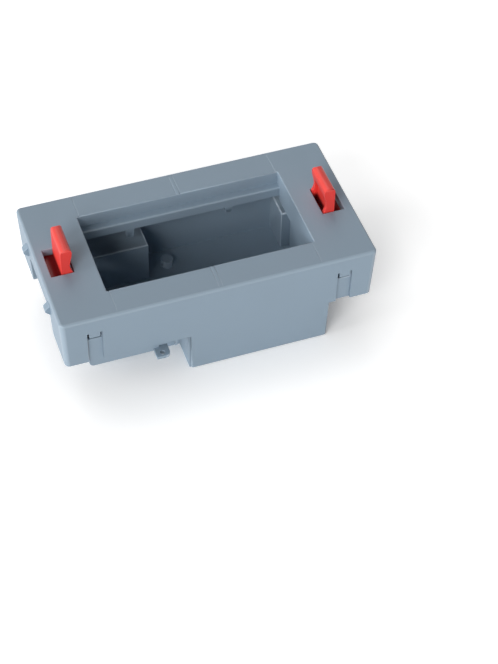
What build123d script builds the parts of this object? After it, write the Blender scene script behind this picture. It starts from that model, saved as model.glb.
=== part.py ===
from build123d import *
import math
import os

# A floor box insert that carries two square wiring modules.
# Millimetres. +Z is up and the length runs along X. The origin lies on the
# resting bottom face, directly under the centre of the module opening.
# A value called depth is measured down from the frame's top face.

# Top frame: overall size
side_margin = 13.65
total_height = 46.0
skirt_depth = 25.1
corner_radius = 2.2
top_edge_radius = 1.1
side_draft = 1.3
end_draft = 2.6
plate_thickness = 2.2
side_wall = 1.05
end_wall = 2.2

# Opening for the modules and the collar around it
module_side = 45.0
module_count = 2
opening_corner_radius = 0.5
rim_radius = 0.4
collar_wall = 1.6
collar_end_depth = 13.8
ledge_depth = 6.2
ledge_slope = 0.3
ledge_width = 3.3
ledge_thickness = 1.5
lip_depth = 11.0
lip_thickness = 1.4
lip_edge_radius = 0.7
left_tab_x = -23.0
left_tab_drop = 4.5
right_tab_x = 21.6
right_tab_drop = 2.9
snap_tab_width = 3.3
snap_tab_radius = 0.6

# Score marks moulded in the top
score_offset = 44.0
score_width = 0.5
score_depth = 0.12
score_end_gap = 1.6
centre_mark_gap = 1.7

# Cable entries in the end walls, with a snap nub beside each edge
entry_width = 31.5
entry_depth = 10.4
entry_corner_radius = 1.4
entry_foot_radius = 2.0
nub_offset = 17.6
nub_depth = 7.2
nub_width = 3.4
nub_height = 5.0
nub_reach = 2.3
nub_step = 0.4

# Catches between the frame and the base box
catch_to_end = 11.0
catch_width = 6.4
catch_depth = 10.7
catch_slit = 0.9
catch_slit_depth = 8.1
tooth_width = 3.2
tooth_height = 1.4
tooth_reach = 0.7
catch_window_width = 5.8
catch_window_above = 1.7
catch_window_below = 1.9

# Apron that covers the deep part of the base box
apron_left = -13.4
apron_right = 48.0
apron_corner_radius = 1.2

# Lever openings, bearings and pivots
slot_setback = 9.5
slot_length = 9.75
slot_to_end = 4.15
slot_width = 16.0
pivot_setback = 3.0
pivot_depth = 8.4
trunnion_radius = 2.0
trunnion_clearance = 0.06
bearing_gap = 0.35
bearing_thickness = 2.2
bearing_wall = 1.9
bearing_mouth = 3.4

# Levers
lever_side_gap = 0.2
lever_slot_gap = 0.45
lever_rise = 13.0
lever_thickness = 4.7
lever_waist_cut = 1.15
lever_waist_height = 3.8
lever_head_cut = 0.3
lever_head_height = 8.4
lever_crown_radius = 2.1
lever_top_radius = 1.1
scoop_width = 11.8
scoop_reach = 2.3
scoop_height = 7.5
scoop_depth = 5.0
lever_hub_radius = 2.9
foot_reach = 6.5
foot_top_depth = 3.4
foot_thickness = 2.4

# Base box: walls, floor and shelves
fit_gap = 0.1
base_wall = 1.0
base_end_gap = 0.5
base_right_extra = 1.7
base_corner_radius = 0.5
base_top_depth = 7.6
end_wall_depth = 13.0
floor_lift = 1.4
floor_thickness = 1.8
shelf_depth = 22.2
shelf_thickness = 1.4
shelf_edge_radius = 0.6
rim_drop = 4.4
rim_end = -19.0
rim_corner_radius = 2.0
channel_width = 37.2
clamp_platform = 6.4
channel_wall = 1.3
deep_wall = 1.8
deep_front_step = 0.35
deep_back_left = -15.4
rib_width = 1.6
rib_spacing = 32.0

# Base box: small features
floor_boss_x = -5.5
floor_boss_y = 24.2
floor_boss_radius = 2.7
floor_boss_height = 3.7
pilot_spacing = 29.0
pilot_radius = 1.1
pilot_depth = 10.0
pilot_wall = 1.5
ear_x = -26.4
ear_hole_reach = 3.25
ear_width = 6.0
ear_thickness = 1.5
ear_corner_radius = 2.0
ear_hole_radius = 1.15
rim_gap_left = -27.0
rim_gap_right = -20.0

# Sizes that follow from the ones above
opening_length = module_side * module_count
opening_width = module_side
frame_length = opening_length + 2 * (slot_setback + slot_length + slot_to_end)
frame_width = opening_width + 2 * side_margin
skirt_bottom = total_height - skirt_depth
cavity_length = frame_length - 2 * end_wall
cavity_width = frame_width - 2 * side_wall
cavity_radius = corner_radius - side_wall
slot_inner = opening_length / 2 + slot_setback
slot_outer = slot_inner + slot_length
pivot_offset = slot_inner + pivot_setback
catch_outer = frame_length / 2 - catch_to_end
catch_inner = catch_outer - catch_width
catch_middle = catch_inner + catch_width / 2
lever_width = slot_width - 2 * lever_side_gap
bearing_face = lever_width / 2 + bearing_gap
pivot_z = total_height - pivot_depth
base_end = catch_outer - base_end_gap
base_right_end = base_end + base_right_extra
base_width = cavity_width - 2 * fit_gap
floor_top = floor_lift + floor_thickness
shelf_top = total_height - shelf_depth
shelf_under = shelf_top - shelf_thickness
rim_depth = skirt_depth + rim_drop
channel_half = channel_width / 2
channel_outer = channel_half + channel_wall
channel_end = base_end - clamp_platform
channel_tip = channel_end + channel_wall
deep_front_left = apron_left - deep_front_step
deep_inner_right = apron_right - deep_wall


def block(x0, x1, y0, y1, z0, z1):
    # a plain box between six planes
    centre = ((x0 + x1) / 2, (y0 + y1) / 2, (z0 + z1) / 2)
    return Pos(*centre) * Box(x1 - x0, y1 - y0, z1 - z0)


def slab(z0, z1):
    # everything between two heights
    return block(-frame_length, frame_length, -frame_width, frame_width, z0, z1)


def both_ends(shape):
    return shape + mirror(shape, about=Plane.YZ)


def both_sides(shape):
    return shape + mirror(shape, about=Plane.XZ)


def lean(depth, angle):
    # how far a drafted wall has moved inward at a depth
    return depth * math.tan(math.radians(angle))


def across(outline, y0, width):
    # an outline drawn in X and Z, made solid from y0 toward +Y
    face = make_face(Plane.XZ * outline)
    return Pos(0, y0, 0) * extrude(face, width, dir=(0, 1, 0))


def along(outline, x0, length):
    # an outline drawn in Y and Z, made solid from x0 toward +X
    face = make_face(Plane.YZ * outline)
    return Pos(x0, 0, 0) * extrude(face, length, dir=(1, 0, 0))


def drafted_block(length, width, radius, depth):
    # a rounded block that narrows from the frame's top face downward
    top = total_height
    low = total_height - depth
    half_length = length / 2
    half_width = width / 2
    low_half_length = half_length - lean(depth, end_draft)
    low_half_width = half_width - lean(depth, side_draft)
    front_view = Polyline((-half_length, top), (half_length, top), (low_half_length, low),
                          (-low_half_length, low), close=True)
    side_view = Polyline((-half_width, top), (half_width, top), (low_half_width, low),
                         (-low_half_width, low), close=True)
    body = across(front_view, -width, 2 * width) & along(side_view, -length, 2 * length)
    upright = body.edges().filter_by(Plane.XY, reverse=True)
    return fillet(upright, radius)


def rod_y(x, z, radius, y0, y1):
    return Pos(x, (y0 + y1) / 2, z) * Rot(90, 0, 0) * Cylinder(radius, y1 - y0)


def outer_shell():
    apron = block(apron_left, apron_right, -frame_width, frame_width, 0, total_height)
    low_corners = apron.edges().filter_by(Axis.Y).group_by(Axis.Z)[0]
    apron = fillet(low_corners, apron_corner_radius)
    full = drafted_block(frame_length, frame_width, corner_radius, total_height)
    shell = (full & slab(skirt_bottom, total_height)) + (full & apron)
    shell = fillet(shell.faces().sort_by(Axis.Z)[-1].edges(), top_edge_radius)
    cavity = drafted_block(cavity_length, cavity_width, cavity_radius, total_height + 1)
    return shell - (cavity & slab(-2, total_height - plate_thickness))


def collar():
    # ledge and lip under the long edges, plain walls under the short ones
    edge = opening_width / 2
    lip = edge - ledge_width
    root = total_height - plate_thickness / 2
    ledge_top = total_height - ledge_depth
    lip_bottom = total_height - lip_depth
    outline = [
        (edge, root),
        (edge, ledge_top),
        (lip, ledge_top - ledge_slope),
        (lip, lip_bottom),
        (lip + lip_thickness, lip_bottom),
        (lip + lip_thickness, ledge_top - ledge_slope - ledge_thickness),
        (edge + collar_wall, ledge_top - ledge_thickness),
        (edge + collar_wall, root),
    ]
    side = along(Polyline(*outline, close=True), -opening_length / 2, opening_length)
    lip_edges = side.edges().filter_by(Axis.X).group_by(Axis.Y)[0]
    side = fillet(lip_edges.sort_by(Axis.Z)[-1], lip_edge_radius)
    for place, drop in ((left_tab_x, left_tab_drop), (right_tab_x, right_tab_drop)):
        tab = block(place - snap_tab_width / 2, place + snap_tab_width / 2, lip, lip + lip_thickness,
                    lip_bottom - drop, lip_bottom + lip_thickness)
        side += fillet(tab.faces().sort_by(Axis.Z)[0].edges().filter_by(Axis.Y), snap_tab_radius)
    end = block(opening_length / 2, opening_length / 2 + collar_wall,
                -edge - collar_wall, edge + collar_wall,
                total_height - collar_end_depth, root)
    return both_sides(side) + both_ends(end)


def bearing_plate():
    # a hanging plate with a snap-in bearing, braced against the end wall
    outline_radius = trunnion_radius + bearing_wall
    y1 = bearing_face + bearing_thickness
    plate = rod_y(pivot_offset, pivot_z, outline_radius, bearing_face, y1)
    plate += block(pivot_offset - outline_radius, pivot_offset + outline_radius,
                   bearing_face, y1, pivot_z, total_height - plate_thickness / 2)
    plate += block(pivot_offset, frame_length / 2 - end_wall,
                   bearing_face, y1, pivot_z, total_height - plate_thickness / 2)
    plate -= rod_y(pivot_offset, pivot_z, trunnion_radius + trunnion_clearance,
                   bearing_face - 1, y1 + 1)
    mouth = block(pivot_offset - bearing_mouth / 2, pivot_offset + bearing_mouth / 2,
                  bearing_face - 1, y1 + 1, pivot_z - 2 * outline_radius, pivot_z)
    return plate - mouth


def cable_entry():
    # a cut-out in the end wall, flared where it leaves the skirt
    half = entry_width / 2
    x0 = frame_length / 2 - 2 * end_wall
    x1 = frame_length / 2 + 1
    cut = block(x0, x1, -half, half, 0, total_height - entry_depth)
    upper = cut.edges().filter_by(Axis.X).group_by(Axis.Z)[-1]
    cut = fillet(upper, entry_corner_radius)
    flare = block(x0, x1, half, half + entry_foot_radius, 0, skirt_bottom + entry_foot_radius)
    centre = Pos((x0 + x1) / 2, half + entry_foot_radius, skirt_bottom + entry_foot_radius)
    flare -= centre * Rot(0, 90, 0) * Cylinder(entry_foot_radius, 2 * (x1 - x0))
    return cut + both_sides(flare)


def snap_nub():
    wall = frame_length / 2 - lean(nub_depth, end_draft)
    tip = wall + nub_reach
    middle = total_height - nub_depth
    outline = [
        (wall - end_wall / 2, middle + nub_height / 2),
        (wall + nub_step, middle + nub_height / 2),
        (tip, middle + nub_height / 8),
        (tip, middle - nub_height / 8),
        (wall + nub_step, middle - nub_height / 2),
        (wall - end_wall / 2, middle - nub_height / 2),
    ]
    return across(Polyline(*outline, close=True), nub_offset - nub_width / 2, nub_width)


def catch_cut():
    # a notch with two slits that free a short tab above it
    y0 = cavity_width / 2 - 2 * side_wall
    y1 = frame_width / 2 + 1
    notch_top = total_height - catch_depth
    slit_top = total_height - catch_slit_depth
    cut = block(catch_inner, catch_outer, y0, y1, -1, notch_top)
    for x0 in (catch_inner, catch_outer - catch_slit):
        cut += block(x0, x0 + catch_slit, y0, y1, -1, slit_top)
    return cut


def catch_tooth():
    # a tooth on the inner side of the short tab
    face = cavity_width / 2 - lean(catch_depth, side_draft)
    low = total_height - catch_depth
    outline = [
        (face + side_wall / 2, low),
        (face - tooth_reach, low + tooth_height / 3),
        (face - tooth_reach, low + tooth_height),
        (face + side_wall / 2, low + tooth_height),
    ]
    return along(Polyline(*outline, close=True), catch_middle - tooth_width / 2, tooth_width)


def score_marks():
    y0 = opening_width / 2
    y1 = frame_width / 2 - score_end_gap
    mark = block(-score_width / 2, score_width / 2, y0, y1,
                 total_height - score_depth, total_height + 1)
    marks = Pos(centre_mark_gap / 2, 0, 0) * mark + Pos(score_offset, 0, 0) * mark
    return both_sides(both_ends(marks))


def make_top_frame():
    frame = outer_shell() + collar()
    mouth = RectangleRounded(opening_length, opening_width, opening_corner_radius)
    frame -= extrude(Plane.XY.offset(total_height + 1) * mouth, -plate_thickness - 1)
    frame -= both_ends(block(slot_inner, slot_outer, -slot_width / 2, slot_width / 2,
                             total_height - plate_thickness - 0.1, total_height + 1))
    top_face = frame.faces().sort_by(Axis.Z)[-1]
    rims = [edge for wire in top_face.inner_wires() for edge in wire.edges()]
    frame = fillet(rims, rim_radius)
    frame += both_ends(both_sides(bearing_plate()))
    frame -= both_ends(cable_entry())
    frame += both_ends(both_sides(snap_nub()))
    frame -= both_ends(both_sides(catch_cut()))
    frame += both_ends(both_sides(catch_tooth()))
    return frame - score_marks()


def hull(inset, x0, x1, z0, z1):
    # a length of the drafted hull of the base box, inset from its outside
    width = base_width - 2 * inset
    body = drafted_block(4 * base_end, width, base_corner_radius, total_height)
    return body & block(x0, x1, -width, width, z0, z1)


def deep_part(inset, left_wall, right, z0, z1):
    # the deep middle of the base box; its left wall steps at the centre
    front = block(deep_front_left + left_wall, right, -frame_width, 0, z0, z1)
    back = block(deep_back_left - base_wall + left_wall, right, 0, frame_width, z0, z1)
    return hull(inset, -base_end, base_right_end, z0, z1) & (front + back)


def channel(inset, z0, z1):
    return block(-channel_tip + inset, channel_tip - inset,
                 -channel_outer + inset, channel_outer - inset, z0, z1)


def screw_ear():
    # a flat lug at the foot of the shallow rim
    rim_z = total_height - rim_depth
    wall = base_width / 2 - lean(rim_depth, side_draft)
    tip = -wall - ear_hole_reach - ear_width / 3
    plate = block(ear_x - ear_width / 2, ear_x + ear_width / 2,
                  tip, -wall + base_wall / 2, rim_z, rim_z + ear_thickness)
    outer_corners = plate.edges().filter_by(Axis.Z).group_by(Axis.Y)[0]
    plate = fillet(outer_corners.sort_by(Axis.X)[-1], ear_corner_radius)
    hole = Pos(ear_x, -wall - ear_hole_reach, rim_z) * Cylinder(ear_hole_radius, 4 * ear_thickness)
    return plate - hole


def pilot_posts():
    # screw posts under the platform that takes a cable clamp
    x = (channel_end + base_end) / 2
    y = pilot_spacing / 2
    height = pilot_depth + pilot_wall
    return Pos(x, y, shelf_top - height / 2) * Cylinder(pilot_radius + pilot_wall, height)


def pilot_holes():
    x = (channel_end + base_end) / 2
    y = pilot_spacing / 2
    return Pos(x, y, shelf_top - pilot_depth / 2) * Cylinder(pilot_radius, pilot_depth)


def make_base_box():
    rim_z = total_height - rim_depth
    top = total_height - base_top_depth

    # outside
    box = hull(0, -base_end, base_right_end, skirt_bottom, top)
    box += hull(0, -base_end, rim_end, rim_z, top)
    box += deep_part(0, 0, apron_right, 0, top)
    box += channel(0, 0, shelf_top)

    # rooms above the shelves and in the deep part
    box -= hull(base_wall, -base_end - 1, base_right_end + 1, shelf_top, total_height)
    box -= deep_part(base_wall, base_wall, deep_inner_right, floor_top, total_height)
    box -= channel(channel_wall, floor_top, total_height)
    free_edges = [edge for edge in box.edges()
                  if abs(edge.center().Z - shelf_top) < shelf_thickness / 9
                  and abs(edge.center().Y) < base_width / 2 - 2 * deep_wall
                  and abs(edge.center().X) < channel_end + channel_wall / 9]
    box = fillet(free_edges, shelf_edge_radius)

    # shallow parts are open underneath
    left_room = hull(base_wall, -base_end + base_wall, rim_end, 0, shelf_under)
    right_room = hull(base_wall, apron_right, base_right_end - base_wall, 0, shelf_under)
    solid_middle = channel(0, 0, total_height) + deep_part(0, 0, apron_right, 0, total_height)
    box -= (left_room + right_room) - solid_middle

    # recess under the floor with stiffening ribs
    recess = deep_part(base_wall, base_wall, deep_inner_right, -1, floor_lift)
    recess += channel(channel_wall, -1, floor_lift)
    ribs = block(-channel_tip, channel_tip, -rib_width / 2, rib_width / 2, 0, floor_lift)
    for x in (-rib_spacing, 0, rib_spacing):
        ribs += block(x - rib_width / 2, x + rib_width / 2, -frame_width, frame_width, 0, floor_lift)
    box -= recess - ribs

    # low end walls beside the cable way
    low_top = total_height - end_wall_depth
    low_ends = hull(base_wall / 2, -base_end, -base_end + base_wall, shelf_under, low_top)
    low_ends += hull(base_wall / 2, base_right_end - base_wall, base_right_end, shelf_under, low_top)
    low_ends -= block(-frame_length, frame_length, -channel_outer, channel_outer, 0, total_height)
    box += low_ends

    # rounded lower corner of the rim
    corner = block(-base_end - 1, -base_end + rim_corner_radius, -frame_width, frame_width,
                   rim_z - 1, rim_z + rim_corner_radius)
    corner -= rod_y(-base_end + rim_corner_radius, rim_z + rim_corner_radius,
                    rim_corner_radius, -frame_width - 1, frame_width + 1)
    box -= corner

    # windows for the frame's catch teeth
    window = block(catch_middle - catch_window_width / 2, catch_middle + catch_window_width / 2,
                   base_width / 2 - 3 * base_wall, frame_width,
                   total_height - catch_depth - catch_window_below,
                   total_height - catch_depth + catch_window_above)
    box -= both_ends(both_sides(window))

    # screw posts, floor boss and ear
    box += both_ends(both_sides(pilot_posts()))
    box -= both_ends(both_sides(pilot_holes()))
    box += Pos(floor_boss_x, floor_boss_y, floor_top) * Cylinder(
        floor_boss_radius, 2 * floor_boss_height) & slab(floor_lift, total_height)

    # gap in the rim wall above the ear and to its right
    gap_depth = -base_width / 2 + 2 * base_wall
    ear_right = ear_x + ear_width / 2
    box -= block(rim_gap_left, ear_right, -frame_width, gap_depth, rim_z + ear_thickness, skirt_bottom)
    box -= block(ear_right, rim_gap_right, -frame_width, gap_depth, rim_z - 1, skirt_bottom)
    return box + screw_ear()


def make_lever():
    # the right-hand lever, standing upright
    inner = slot_inner + lever_slot_gap
    outer = inner + lever_thickness
    top = total_height + lever_rise
    foot_z = total_height - foot_top_depth
    half = lever_width / 2

    # side outline: waisted thumb face, straight back and a foot
    thumb_face = Spline(
        (inner, total_height),
        (inner + lever_waist_cut, total_height + lever_waist_height),
        (inner + lever_head_cut, total_height + lever_head_height),
        (inner + lever_head_cut, top),
    )
    back = Polyline(
        (inner + lever_head_cut, top),
        (outer, top),
        (outer, foot_z),
        (pivot_offset + foot_reach, foot_z),
        (pivot_offset + foot_reach, foot_z - foot_thickness),
        (outer, foot_z - foot_thickness),
        (outer, pivot_z),
        (inner, pivot_z),
        (inner, total_height),
    )
    body = across(thumb_face + back, -half, lever_width)
    body = fillet(body.edges().filter_by(Axis.Y).group_by(Axis.Z)[-1], lever_crown_radius)

    # rounded upper corners and the thumb scoop between two cheeks
    tall = block(inner - 2, outer + foot_reach, -half, half, pivot_z, top)
    body &= fillet(tall.edges().filter_by(Axis.X).group_by(Axis.Z)[-1], lever_top_radius)
    body -= block(inner - 2, inner + scoop_reach, -scoop_width / 2, scoop_width / 2,
                  total_height - scoop_depth, total_height + scoop_height)

    # hub and trunnions
    body += rod_y(pivot_offset, pivot_z, lever_hub_radius, -half, half)
    pin_end = bearing_face + bearing_thickness
    return body + rod_y(pivot_offset, pivot_z, trunnion_radius, -pin_end, pin_end)


os.makedirs("parts", exist_ok=True)
lever = make_lever()
export_step(make_top_frame(), "parts/top_frame.step")
export_step(make_base_box(), "parts/base_box.step")
export_step(lever, "parts/lever_right.step")
export_step(mirror(lever, about=Plane.YZ), "parts/lever_left.step")
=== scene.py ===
import math

import bmesh
import bpy
from mathutils import Matrix, Vector


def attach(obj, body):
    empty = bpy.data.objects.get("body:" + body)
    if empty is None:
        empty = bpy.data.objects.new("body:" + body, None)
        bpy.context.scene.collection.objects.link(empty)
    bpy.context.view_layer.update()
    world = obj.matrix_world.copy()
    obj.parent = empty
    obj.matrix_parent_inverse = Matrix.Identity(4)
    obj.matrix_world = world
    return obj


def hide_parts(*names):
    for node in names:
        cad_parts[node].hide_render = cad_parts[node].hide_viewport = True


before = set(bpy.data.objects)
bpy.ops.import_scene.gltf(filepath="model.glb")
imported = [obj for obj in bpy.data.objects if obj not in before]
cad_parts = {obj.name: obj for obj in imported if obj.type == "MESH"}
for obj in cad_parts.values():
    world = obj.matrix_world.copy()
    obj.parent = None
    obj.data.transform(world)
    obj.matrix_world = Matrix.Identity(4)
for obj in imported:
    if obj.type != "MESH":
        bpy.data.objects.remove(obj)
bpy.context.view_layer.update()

# Top frame
# The upper moulding in blue-grey plastic, injection moulded in one piece. Its
# skin is finely grained, and the tool left small roundings on the outer edges.
frame_grey = (0.260, 0.340, 0.418)
# a lighter grey on the roundings, a painted highlight
frame_highlight_grey = (0.37, 0.46, 0.54)
frame_highlight_amount = 0.35
frame_roughness = 0.5
grey_grain_depth = 0.00004
frame_rounding = 0.00022
score_floor = 0.04588

grain_scale, grain_detail = 2600.0, 2.0
cloud_scale, cloud_detail, cloud_amount = 45.0, 3.0, 0.05
noise_middle = 0.5
roughness_spread = 0.08
mix_first, mix_second, mix_result = 6, 7, 2  # the colour sockets of a Mix node


def put(nodes, kind, **values):
    node = nodes.new(kind)
    for key, value in values.items():
        setattr(node, key, value)
    return node


def moulded_skin_group():
    # fine grain and faint flow clouds; the rounded edges are smoother, and a lighter colour on
    # them is a painted highlight
    group = bpy.data.node_groups.new("moulded_skin", "ShaderNodeTree")
    face = group.interface
    for label in ("Colour", "Painted highlight colour"):
        face.new_socket(label, in_out="INPUT", socket_type="NodeSocketColor")
    for label in ("Roughness", "Painted highlight amount", "Edge polish"):
        face.new_socket(label, in_out="INPUT", socket_type="NodeSocketFloat")
    for label, value in (("Grain scale", grain_scale), ("Cloud scale", cloud_scale),
                         ("Cloud amount", cloud_amount), ("Roughness spread", roughness_spread)):
        socket = face.new_socket(label, in_out="INPUT", socket_type="NodeSocketFloat")
        socket.default_value = value
    face.new_socket("Colour", in_out="OUTPUT", socket_type="NodeSocketColor")
    face.new_socket("Roughness", in_out="OUTPUT", socket_type="NodeSocketFloat")
    face.new_socket("Height", in_out="OUTPUT", socket_type="NodeSocketFloat")
    nodes, links = group.nodes, group.links
    given = put(nodes, "NodeGroupInput")
    result = put(nodes, "NodeGroupOutput")
    place = put(nodes, "ShaderNodeTexCoord")
    grain = put(nodes, "ShaderNodeTexNoise")
    grain.inputs["Detail"].default_value = grain_detail
    cloud = put(nodes, "ShaderNodeTexNoise")
    cloud.inputs["Detail"].default_value = cloud_detail
    links.new(place.outputs["Object"], grain.inputs["Vector"])
    links.new(place.outputs["Object"], cloud.inputs["Vector"])
    links.new(given.outputs["Grain scale"], grain.inputs["Scale"])
    links.new(given.outputs["Cloud scale"], cloud.inputs["Scale"])
    links.new(grain.outputs["Fac"], result.inputs["Height"])

    # the clouds swing evenly about the plain colour
    swing = put(nodes, "ShaderNodeMath", operation="SUBTRACT")
    links.new(cloud.outputs["Fac"], swing.inputs[0])
    swing.inputs[1].default_value = noise_middle
    shade = put(nodes, "ShaderNodeMath", operation="MULTIPLY_ADD")
    links.new(swing.outputs[0], shade.inputs[0])
    links.new(given.outputs["Cloud amount"], shade.inputs[1])
    shade.inputs[2].default_value = 1.0
    tone = put(nodes, "ShaderNodeVectorMath", operation="SCALE")
    links.new(given.outputs["Colour"], tone.inputs[0])
    links.new(shade.outputs[0], tone.inputs["Scale"])

    # a lighter colour on the roundings is a painted highlight
    rounding = put(nodes, "ShaderNodeAttribute", attribute_name="rounding")
    painted_edge_highlight = put(nodes, "ShaderNodeMath", operation="MULTIPLY")
    links.new(rounding.outputs["Fac"], painted_edge_highlight.inputs[0])
    links.new(given.outputs["Painted highlight amount"], painted_edge_highlight.inputs[1])
    colour = put(nodes, "ShaderNodeMix", data_type="RGBA")
    links.new(painted_edge_highlight.outputs[0], colour.inputs["Factor"])
    links.new(tone.outputs[0], colour.inputs[mix_first])
    links.new(given.outputs["Painted highlight colour"], colour.inputs[mix_second])
    links.new(colour.outputs[mix_result], result.inputs["Colour"])

    # the clouds change the roughness a little, and the roundings are polished
    rough = put(nodes, "ShaderNodeMath", operation="MULTIPLY_ADD")
    links.new(swing.outputs[0], rough.inputs[0])
    links.new(given.outputs["Roughness spread"], rough.inputs[1])
    links.new(given.outputs["Roughness"], rough.inputs[2])
    polish = put(nodes, "ShaderNodeMath", operation="MULTIPLY")
    links.new(rounding.outputs["Fac"], polish.inputs[0])
    links.new(given.outputs["Edge polish"], polish.inputs[1])
    smoother = put(nodes, "ShaderNodeMath", operation="SUBTRACT")
    links.new(rough.outputs[0], smoother.inputs[0])
    links.new(polish.outputs[0], smoother.inputs[1])
    links.new(smoother.outputs[0], result.inputs["Roughness"])
    return group


moulded_skin = moulded_skin_group()
plastic_shine = 0.4
grain_strength = 0.25
grey_edge_polish = 0.2


def plastic(name, colour, highlight_colour, highlight_amount, edge_polish, roughness, grain_depth):
    material = bpy.data.materials.new(name)
    material.use_nodes = True
    nodes, links = material.node_tree.nodes, material.node_tree.links
    shader = nodes["Principled BSDF"]
    shader.inputs["Specular IOR Level"].default_value = plastic_shine
    skin = put(nodes, "ShaderNodeGroup", node_tree=moulded_skin, name="skin")
    skin.inputs["Colour"].default_value = (*colour, 1)
    skin.inputs["Painted highlight colour"].default_value = (*highlight_colour, 1)
    skin.inputs["Painted highlight amount"].default_value = highlight_amount
    skin.inputs["Edge polish"].default_value = edge_polish
    skin.inputs["Roughness"].default_value = roughness
    bump = put(nodes, "ShaderNodeBump")
    bump.inputs["Strength"].default_value = grain_strength
    bump.inputs["Distance"].default_value = grain_depth
    links.new(skin.outputs["Colour"], shader.inputs["Base Color"])
    links.new(skin.outputs["Roughness"], shader.inputs["Roughness"])
    links.new(skin.outputs["Height"], bump.inputs["Height"])
    links.new(bump.outputs["Normal"], shader.inputs["Normal"])
    return material


# what makes an edge a corner, a facet of a rounding, or the side of a groove
corner_turn = math.radians(35)
facet_turn = math.radians(4)
facet_width = 0.0009
groove_width = 0.0002
round_profile = 0.5


def joined_runs(edges):
    # the given edges in groups that hang together, in the mesh's own order
    waiting = dict.fromkeys(edges)
    runs = []
    while waiting:
        run = [next(iter(waiting))]
        del waiting[run[0]]
        for edge in run:
            for corner in edge.verts:
                for next_edge in corner.link_edges:
                    if next_edge in waiting:
                        del waiting[next_edge]
                        run.append(next_edge)
        runs.append(run)
    return runs


def width_of(face):
    return face.calc_area() / max(edge.calc_length() for edge in face.edges)


def is_corner(edge):
    return len(edge.link_faces) == 2 and edge.calc_face_angle_signed() > corner_turn


def mark_solid_roundings(shape, mark):
    # the narrow faces of the roundings that the solid has already, marked for the painted
    # highlight
    for face in shape.faces:
        turns = [edge.calc_face_angle_signed() for edge in face.edges
                 if len(edge.link_faces) == 2]
        if (width_of(face) < facet_width
                and any(facet_turn < turn < corner_turn for turn in turns)):
            face[mark] = 1.0


def round_corners(shape, mark, edges, radius, steps, held_back):
    # held back, a rounding stops where it would run into its neighbours
    made = bmesh.ops.bevel(shape, geom=edges, offset=radius, segments=steps,
                           profile=round_profile, affect="EDGES", clamp_overlap=held_back)
    # the new rounding faces are marked for the painted highlight
    for face in made["faces"]:
        face[mark] = 1.0


# the apron over the deep part has a wider rounding on its outer edge, which
# runs down one end, along the bottom and up again
apron_left, apron_right = -0.01345, 0.04805
apron_top, apron_outside = 0.02095, 0.0350
apron_rounding, apron_steps = 0.0008, 3


def on_apron(corner):
    return (apron_left < corner.co.x < apron_right and corner.co.z < apron_top
            and abs(corner.co.y) > apron_outside)


merge_distance = 0.000002
flat_turn = math.radians(0.6)
sharp_turn = math.radians(50)
rounding_steps = 2
flat_weight = 90
facing_up = 0.9
score_reach = 0.00003


def rounded_moulding(node, body, rounding, material, scored_height=None):
    # a merged copy of the node whose outer edges are rounded
    shape = bmesh.new()
    shape.from_mesh(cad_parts[node].data)
    bmesh.ops.remove_doubles(shape, verts=shape.verts, dist=merge_distance)
    bmesh.ops.dissolve_limit(shape, angle_limit=flat_turn, verts=shape.verts,
                             edges=shape.edges)
    mark = shape.faces.layers.float.new("rounding")
    mark_solid_roundings(shape, mark)
    if node == "top_frame":
        apron = [edge for edge in shape.edges
                 if is_corner(edge) and all(on_apron(end) for end in edge.verts)]
        round_corners(shape, mark, apron, apron_rounding, apron_steps, held_back=False)
    corners = [edge for edge in shape.edges
               if is_corner(edge)
               and min(width_of(face) for face in edge.link_faces) > groove_width]
    for run in joined_runs(corners):
        round_corners(shape, mark, run, rounding, rounding_steps, held_back=True)
    for face in shape.faces:
        face.smooth = True
        # the floors of the score lines get the same painted highlight as the roundings
        if (scored_height and face.normal.z > facing_up
                and abs(face.calc_center_median().z - scored_height) < score_reach):
            face[mark] = 1.0
    mesh = bpy.data.meshes.new(node + "_moulding")
    shape.to_mesh(mesh)
    shape.free()
    mesh.set_sharp_from_angle(angle=sharp_turn)

    # the wide faces stay flat, and only the roundings shade round
    rough_piece = bpy.data.objects.new(node + "_soft", mesh)
    bpy.context.scene.collection.objects.link(rough_piece)
    weighted = rough_piece.modifiers.new("flat_faces", "WEIGHTED_NORMAL")
    weighted.keep_sharp = True
    weighted.weight = flat_weight
    seen = rough_piece.evaluated_get(bpy.context.evaluated_depsgraph_get())
    final = bpy.data.meshes.new_from_object(seen)
    bpy.data.objects.remove(rough_piece)
    final.materials.clear()
    final.materials.append(material)
    piece = bpy.data.objects.new(node + "_moulding", final)
    bpy.context.scene.collection.objects.link(piece)
    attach(piece, body)
    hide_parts(node)


grey_skin = plastic("grey_moulded_skin", frame_grey, frame_highlight_grey, frame_highlight_amount,
                    grey_edge_polish, frame_roughness, grey_grain_depth)
rounded_moulding("top_frame", "box", frame_rounding, grey_skin, score_floor)

# Base box
# The lower moulding clips into the frame. It is made of the same grey plastic, and its thin
# walls have smaller roundings, painted a much lighter grey as a painted highlight so they stand
# out in the dark well.
base_rounding = 0.00018
base_highlight_grey = (0.52, 0.62, 0.71)
base_highlight_amount = 0.7
base_roughness = 0.46
base_skin = plastic("grey_inner_skin", frame_grey, base_highlight_grey, base_highlight_amount,
                    grey_edge_polish, base_roughness, grey_grain_depth)
rounded_moulding("base_box", "box", base_rounding, base_skin)

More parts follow.
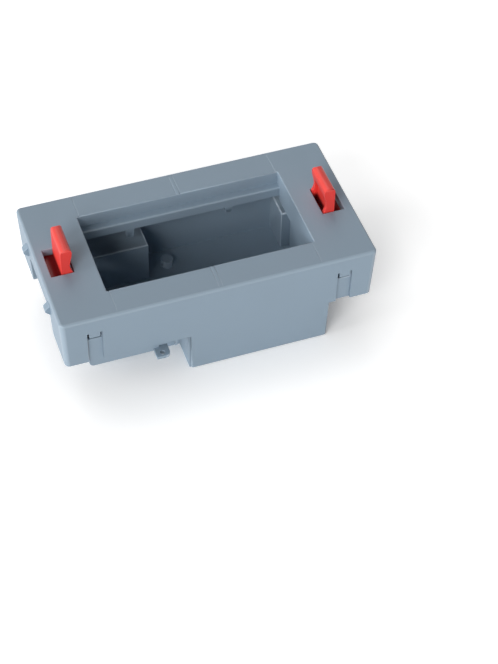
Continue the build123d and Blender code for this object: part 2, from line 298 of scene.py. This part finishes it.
# Sleeve under the screw ear
# A short ring in the same grey plastic, assumed to be moulded under the hole of
# the ear. It guides the screw, and it makes the hole look deep and dark.
sleeve_place = (-0.0264, -0.03758)
sleeve_top, sleeve_bottom = 0.0165, 0.0157
sleeve_bore, sleeve_outside = 0.00115, 0.0014
sleeve_sides = 32
sleeve_shape = bmesh.new()
rings = []
for radius, level in ((sleeve_bore, sleeve_top), (sleeve_outside, sleeve_top),
                      (sleeve_outside, sleeve_bottom), (sleeve_bore, sleeve_bottom)):
    ring = []
    for step in range(sleeve_sides):
        turn = 2 * math.pi * step / sleeve_sides
        ring.append(sleeve_shape.verts.new((sleeve_place[0] + radius * math.cos(turn),
                                            sleeve_place[1] + radius * math.sin(turn),
                                            level)))
    rings.append(ring)
for first, second in zip(rings, rings[1:] + rings[:1]):
    for step in range(sleeve_sides):
        after = (step + 1) % sleeve_sides
        sleeve_shape.faces.new((first[step], second[step], second[after], first[after]))
bmesh.ops.recalc_face_normals(sleeve_shape, faces=sleeve_shape.faces)
sleeve_mesh = bpy.data.meshes.new("ear_sleeve")
sleeve_shape.to_mesh(sleeve_mesh)
sleeve_shape.free()
sleeve_mesh.materials.append(base_skin)
sleeve = bpy.data.objects.new("ear_sleeve", sleeve_mesh)
bpy.context.scene.collection.objects.link(sleeve)
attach(sleeve, "box")

# Red levers
# Two red moulded levers stand in slots at the ends of the frame and turn on trunnions that snap
# into it from below. Below the frame's top their red is painted dark, a painted shade for the
# shadow down in the slots.
lever_rounding = 0.0004
lever_red = (0.78, 0.05, 0.04)
# a lighter red on the roundings, a painted highlight
lever_highlight_red = (0.86, 0.12, 0.10)
lever_highlight_amount = 0.25
lever_edge_polish = 0.05
lever_roughness = 0.42
red_grain_depth = 0.00003
painted_slot_shade_red = (0.20, 0.006, 0.006)
slot_shade_top, slot_shade_depth = 0.0456, 0.0024
red_skin = plastic("red_moulded_skin", lever_red, lever_highlight_red, lever_highlight_amount,
                   lever_edge_polish, lever_roughness, red_grain_depth)
nodes, links = red_skin.node_tree.nodes, red_skin.node_tree.links
# painted shade: the red turns dark where the lever stands low in its slot
place = put(nodes, "ShaderNodeTexCoord")
height = put(nodes, "ShaderNodeSeparateXYZ")
links.new(place.outputs["Object"], height.inputs[0])
slot_shade_mask = put(nodes, "ShaderNodeMapRange")
slot_shade_mask.inputs["From Min"].default_value = slot_shade_top
slot_shade_mask.inputs["From Max"].default_value = slot_shade_top - slot_shade_depth
links.new(height.outputs["Z"], slot_shade_mask.inputs["Value"])
painted_slot_shade = put(nodes, "ShaderNodeMix", data_type="RGBA")
links.new(slot_shade_mask.outputs["Result"], painted_slot_shade.inputs["Factor"])
links.new(nodes["skin"].outputs["Colour"], painted_slot_shade.inputs[mix_first])
painted_slot_shade.inputs[mix_second].default_value = (*painted_slot_shade_red, 1)
links.new(painted_slot_shade.outputs[mix_result], nodes["Principled BSDF"].inputs["Base Color"])
for side in ("left", "right"):
    rounded_moulding("lever_" + side, "lever_" + side, lever_rounding, red_skin)

# Table
# A white table top fills the view. It glows a little where the camera sees it, so it stays
# white, and the glow fades near the box, a painted shade that deepens the box's soft shadow.
table_reach = 3
table_white = (0.9, 0.9, 0.9, 1)
table_roughness, table_shine = 0.9, 0.1
table_glow = (0.55, 0.55, 0.55, 1)
shadow_reach = 0.05


def seen_or_mirrored(nodes, links):
    # 1 where the camera sees the background, also through a mirror or glass
    path = put(nodes, "ShaderNodeLightPath")
    direct = put(nodes, "ShaderNodeMath", operation="MAXIMUM")
    links.new(path.outputs["Is Camera Ray"], direct.inputs[0])
    links.new(path.outputs["Is Glossy Ray"], direct.inputs[1])
    shown = put(nodes, "ShaderNodeMath", operation="MAXIMUM")
    links.new(direct.outputs[0], shown.inputs[0])
    links.new(path.outputs["Is Transmission Ray"], shown.inputs[1])
    return shown.outputs[0]


table = bpy.data.meshes.new("table")
table.from_pydata([(-table_reach, -table_reach, 0), (table_reach, -table_reach, 0),
                   (table_reach, table_reach, 0), (-table_reach, table_reach, 0)],
                  [], [(0, 1, 2, 3)])
table_top = bpy.data.objects.new("table", table)
bpy.context.scene.collection.objects.link(table_top)
table_skin = bpy.data.materials.new("table_white")
table_skin.use_nodes = True
nodes, links = table_skin.node_tree.nodes, table_skin.node_tree.links
shader = nodes["Principled BSDF"]
shader.inputs["Base Color"].default_value = table_white
shader.inputs["Roughness"].default_value = table_roughness
shader.inputs["Specular IOR Level"].default_value = table_shine
# the glow is weaker near the box: painted shade around it
glow_fade_near_box = put(nodes, "ShaderNodeAmbientOcclusion")
glow_fade_near_box.inputs["Distance"].default_value = shadow_reach
lift = put(nodes, "ShaderNodeMath", operation="MULTIPLY")
links.new(glow_fade_near_box.outputs["AO"], lift.inputs[0])
links.new(seen_or_mirrored(nodes, links), lift.inputs[1])
glow = put(nodes, "ShaderNodeEmission")
glow.inputs["Color"].default_value = table_glow
links.new(lift.outputs[0], glow.inputs["Strength"])
both = put(nodes, "ShaderNodeAddShader")
links.new(shader.outputs["BSDF"], both.inputs[0])
links.new(glow.outputs["Emission"], both.inputs[1])
links.new(both.outputs["Shader"], nodes["Material Output"].inputs["Surface"])
table.materials.append(table_skin)

# Light
# Soft lamps stand low in front and on the left, and weaker ones higher behind,
# so the walls are brighter than the well. The room is dim but is seen as white.
wide_disc, small_disc = 30, 10
room_dim, room_white = 0.03, 1.0


def soft_lamp(name, azimuth, elevation, disc, strength):
    # a far lamp, seen as a disc of so many degrees; azimuth 0 is in front
    lamp = bpy.data.lights.new(name, "SUN")
    lamp.energy = strength
    lamp.angle = math.radians(disc)
    holder = bpy.data.objects.new(name, lamp)
    side, rise = math.radians(azimuth), math.radians(elevation)
    toward = Vector((math.sin(side) * math.cos(rise), -math.cos(side) * math.cos(rise),
                     math.sin(rise)))
    holder.rotation_euler = toward.to_track_quat("Z", "Y").to_euler()
    bpy.context.scene.collection.objects.link(holder)


soft_lamp("front_left", -45, 30, wide_disc, 1.6)
soft_lamp("left", -90, 30, wide_disc, 0.7)
soft_lamp("left_low", -90, 3, small_disc, 1.2)
soft_lamp("front", 0, 8, wide_disc, 0.5)
soft_lamp("front_low", 0, 3, small_disc, 0.35)
soft_lamp("right_low", 45, 3, small_disc, 0.2)
soft_lamp("back", 180, 30, wide_disc, 0.2)
soft_lamp("back_high", 180, 58, wide_disc, 0.4)
soft_lamp("back_left_high", -135, 58, wide_disc, 0.35)
world = bpy.data.worlds.new("room")
bpy.context.scene.world = world
world.use_nodes = True
nodes, links = world.node_tree.nodes, world.node_tree.links
white_or_dim = put(nodes, "ShaderNodeMapRange")
white_or_dim.inputs["To Min"].default_value = room_dim
white_or_dim.inputs["To Max"].default_value = room_white
links.new(seen_or_mirrored(nodes, links), white_or_dim.inputs["Value"])
links.new(white_or_dim.outputs["Result"], nodes["Background"].inputs["Strength"])
nodes["Background"].inputs["Color"].default_value = (1, 1, 1, 1)

# Camera
# It looks down on the box from the front left, as in the photograph. Its place
# and its lens come from the directions of the box's straight edges.
camera_place = (-0.156263, -0.491574, 0.554966)
azimuth, elevation, roll = math.radians(-20.273), math.radians(48.013), math.radians(1.386)
focal_pixels, image_height = 1722.1, 664
sensor_width = 36
nearest_seen = 0.01
back = Vector((math.sin(azimuth) * math.cos(elevation), -math.cos(azimuth) * math.cos(elevation),
               math.sin(elevation)))
right = Vector((math.cos(azimuth), math.sin(azimuth), 0))
up = back.cross(right)
turned_right = right * math.cos(roll) + up * math.sin(roll)
turned_up = up * math.cos(roll) - right * math.sin(roll)
lens = bpy.data.cameras.new("camera")
lens.lens = focal_pixels / image_height * sensor_width
lens.sensor_width = sensor_width
lens.clip_start = nearest_seen
camera = bpy.data.objects.new("camera", lens)
camera.matrix_world = Matrix.Translation(camera_place) @ Matrix(
    (turned_right, turned_up, back)).transposed().to_4x4()
bpy.context.scene.collection.objects.link(camera)
bpy.context.scene.camera = camera

bpy.context.scene.view_settings.view_transform = "Standard"
